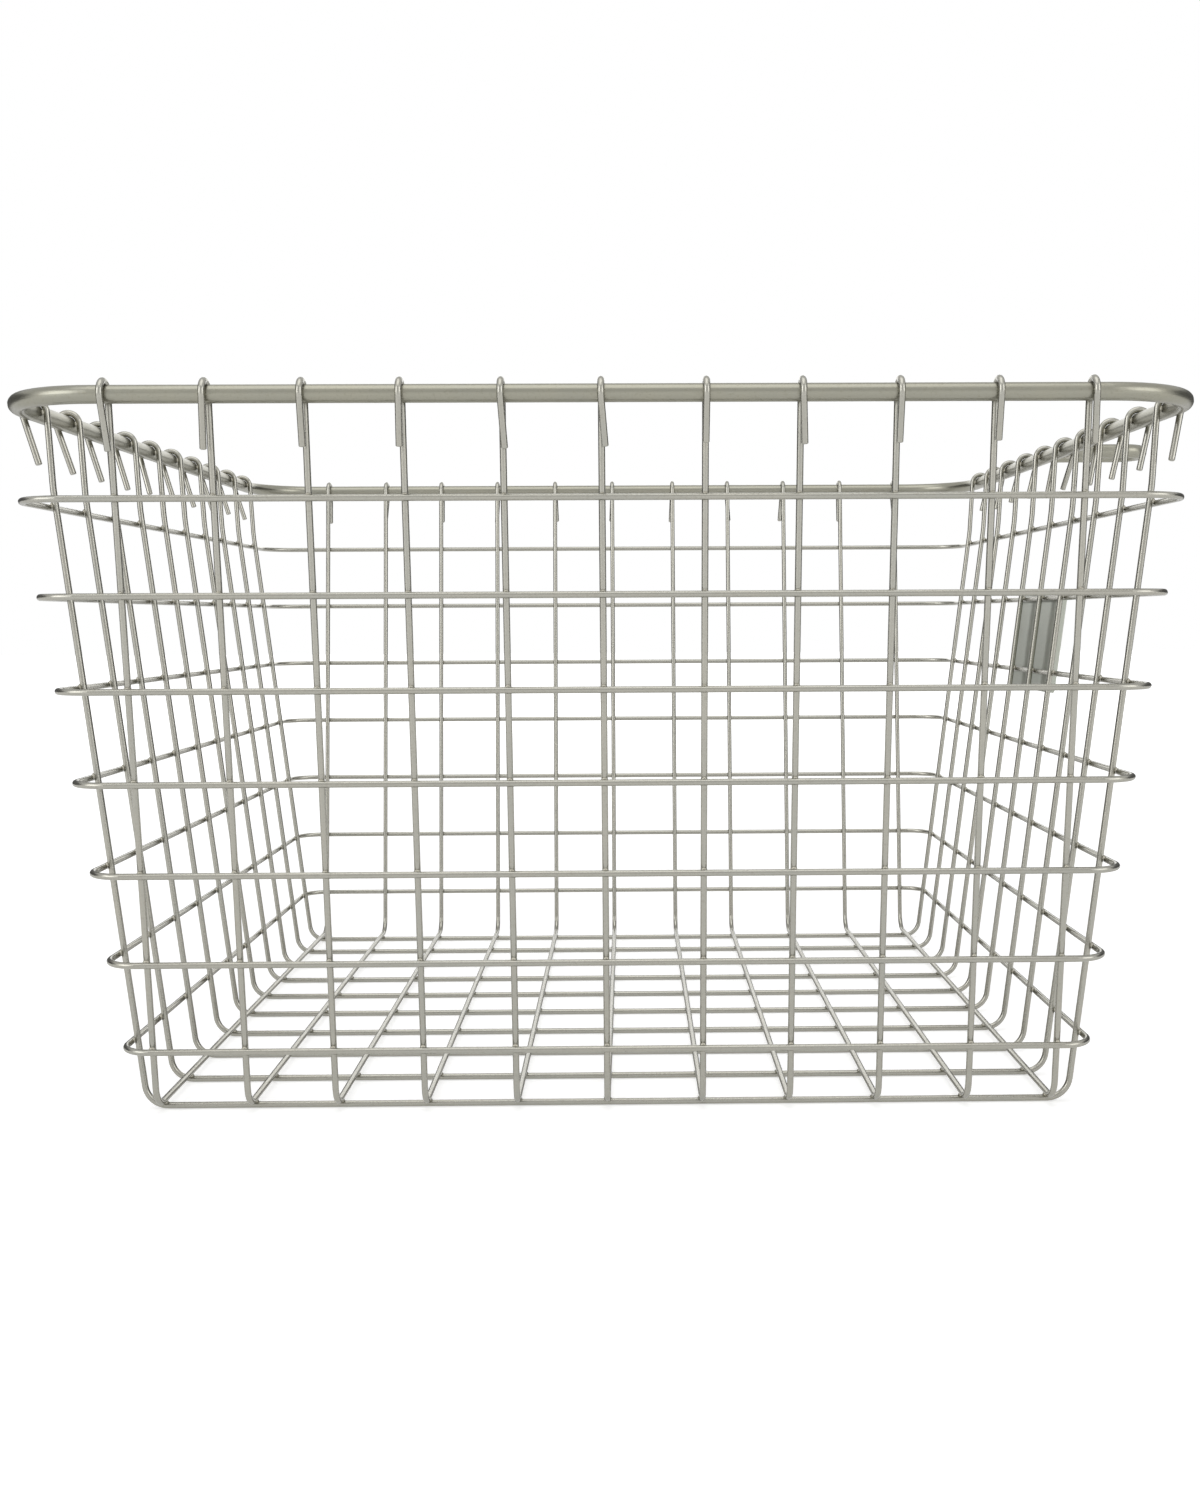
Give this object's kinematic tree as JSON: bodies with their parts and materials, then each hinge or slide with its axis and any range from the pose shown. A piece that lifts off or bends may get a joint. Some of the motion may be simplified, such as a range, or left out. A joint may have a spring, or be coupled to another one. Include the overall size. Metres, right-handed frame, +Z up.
{
  "type": "wire locker basket",
  "caption": "Open-topped tapered basket of welded steel wire with a hooked-over rim rod, a lock loop and a label holder, for a locker or basket rack.",
  "frame": {"origin": "on the ground under the middle of the floor, midway between the walls", "axes": "+Z up, +X across the basket towards the wall with the label holder and the lock loop, +Y from the front wall to the back wall"},
  "size_m": [0.3515, 0.3058, 0.2011],
  "materials": {
    "plated_rod": "satin nickel-like plating, slightly warm grey",
    "plated_wire": "satin nickel-like plating over drawn wire, slightly warm grey",
    "plated_sheet": "satin plated sheet, slightly darker than the wire"
  },
  "bodies": {
    "root": {"band_ring_1": "plated_wire", "band_ring_2": "plated_wire", "band_ring_3": "plated_wire", "band_ring_4": "plated_wire", "band_ring_5": "plated_wire", "band_ring_6": "plated_wire", "band_ring_7": "plated_wire", "cross_hoop_01": "plated_wire", "cross_hoop_02": "plated_wire", "cross_hoop_03": "plated_wire", "cross_hoop_04": "plated_wire", "cross_hoop_05": "plated_wire", "cross_hoop_06": "plated_wire", "cross_hoop_07": "plated_wire", "cross_hoop_08": "plated_wire", "cross_hoop_09": "plated_wire", "cross_hoop_10": "plated_wire", "label_holder": "plated_sheet", "lock_loop": "plated_rod", "long_hoop_01": "plated_wire", "long_hoop_02": "plated_wire", "long_hoop_03": "plated_wire", "long_hoop_04": "plated_wire", "long_hoop_05": "plated_wire", "long_hoop_06": "plated_wire", "long_hoop_07": "plated_wire", "long_hoop_08": "plated_wire", "long_hoop_09": "plated_wire", "long_hoop_10": "plated_wire", "long_hoop_11": "plated_wire", "rim_rod": "plated_rod"}
  },
  "joints": []
}
